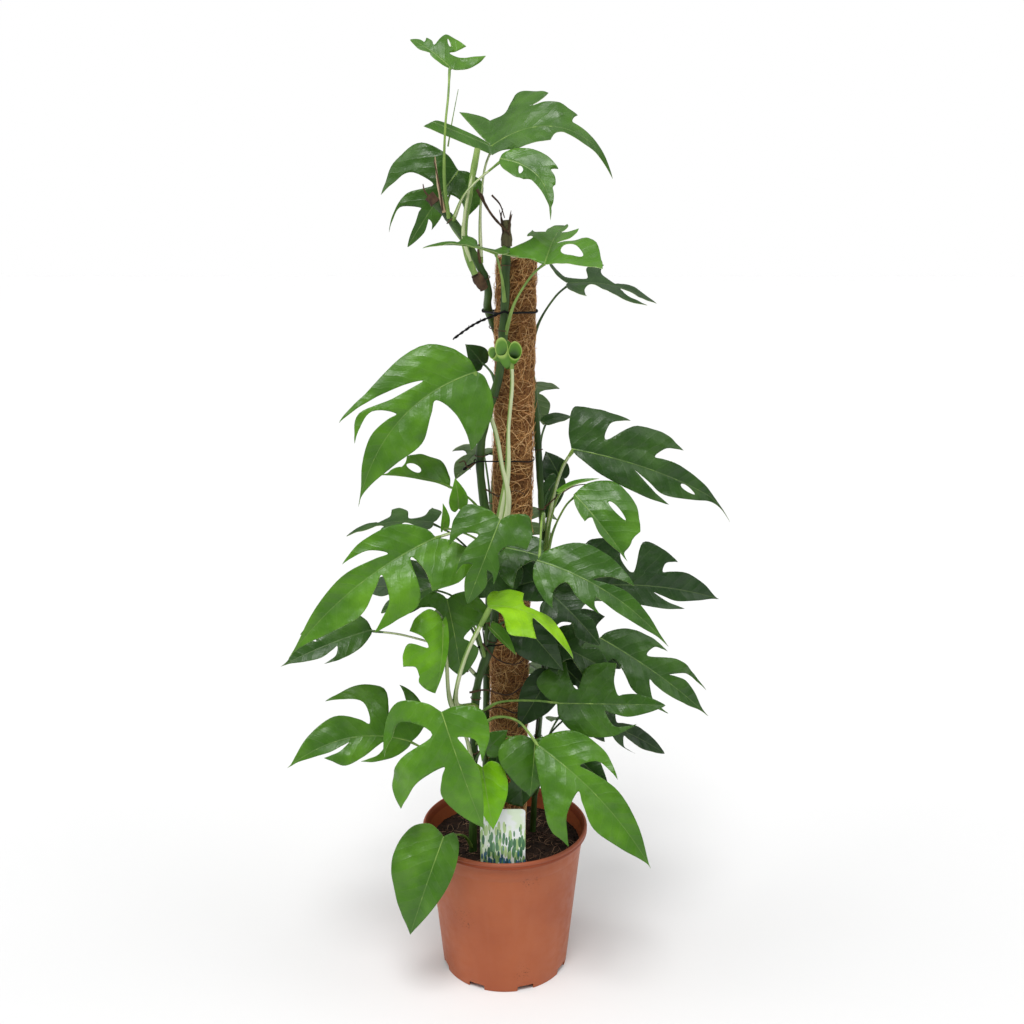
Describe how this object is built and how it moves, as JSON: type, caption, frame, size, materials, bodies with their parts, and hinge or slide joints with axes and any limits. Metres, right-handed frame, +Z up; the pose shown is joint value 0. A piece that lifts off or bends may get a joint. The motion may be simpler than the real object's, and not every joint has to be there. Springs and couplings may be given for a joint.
{
  "type": "potted climbing plant",
  "caption": "Climbing split-leaf houseplant tied to a coir pole, growing in soil in a round plastic nursery pot with a blank plant label.",
  "frame": {"origin": "centre of the pot's foot, in the plane the pot stands on", "axes": "+Z up along the pot; -Y is the show side, where the label stands; +X to the right seen from the show side"},
  "size_m": [0.5332, 0.3386, 1.1282],
  "materials": {
    "terracotta": "satin moulded plastic",
    "peat": "rough fibrous potting soil",
    "coir": "matted coconut fibre",
    "wood": "sawn stake",
    "card": "smooth coated card",
    "wire": "plastic-coated wire",
    "stem": "smooth plant stem",
    "leaf": "waxy leaf",
    "leaf_dark": "waxy leaf, older",
    "leaf_young": "waxy leaf, young"
  },
  "bodies": {
    "root": {"pot": "terracotta", "soil": "peat", "pole_core": "wood", "coir_sleeve": "coir", "stem_left": "stem", "stem_climber": "stem", "stem_right": "stem", "tie_top": "wire", "tie_middle": "wire", "tie_low": "wire", "plant_label": "card", "leaf_crown": "leaf", "leaf_high_right": "leaf", "leaf_high_droop": "leaf", "leaf_high_left": "leaf", "leaf_pole_top_side": "leaf", "leaf_pole_top_right": "leaf", "leaf_rear_high": "leaf_dark", "leaf_big_left": "leaf", "leaf_thin_left": "leaf", "leaf_small_left": "leaf_young", "leaf_small_low": "leaf_young", "leaf_edge_left": "leaf_dark", "leaf_mid_left": "leaf", "leaf_low_left": "leaf_dark", "leaf_rear_left": "leaf_dark", "leaf_funnel": "leaf", "leaf_shade_left": "leaf", "leaf_centre": "leaf", "leaf_centre_upper": "leaf", "leaf_centre_right": "leaf", "leaf_lime": "leaf_young", "leaf_right_big": "leaf", "leaf_right_rear": "leaf_dark", "leaf_rolled": "leaf_young", "leaf_right_edge": "leaf_dark", "leaf_right_thin": "leaf", "leaf_right_dark": "leaf_dark", "leaf_low_right_c": "leaf_dark", "leaf_low_right_b": "leaf", "leaf_low_right_a": "leaf", "leaf_low_right_d": "leaf_dark", "leaf_bottom_left": "leaf", "leaf_front_low": "leaf", "leaf_lime_low": "leaf_young", "leaf_mid_low": "leaf", "leaf_front_right": "leaf", "leaf_juvenile": "leaf", "leaf_unfurling": "leaf_young", "leaf_behind_centre": "leaf_dark", "leaf_shade_centre": "leaf_dark", "leaf_dark_low": "leaf_dark", "leaf_small_centre": "leaf", "leaf_low_mid": "leaf_dark", "leaf_shade_low": "leaf_dark", "leaf_behind_front": "leaf_dark", "leaf_shade_base": "leaf_dark", "leaf_back_upper": "leaf_dark", "leaf_back_mid": "leaf_dark", "leaf_back_low": "leaf_dark"}
  },
  "joints": []
}
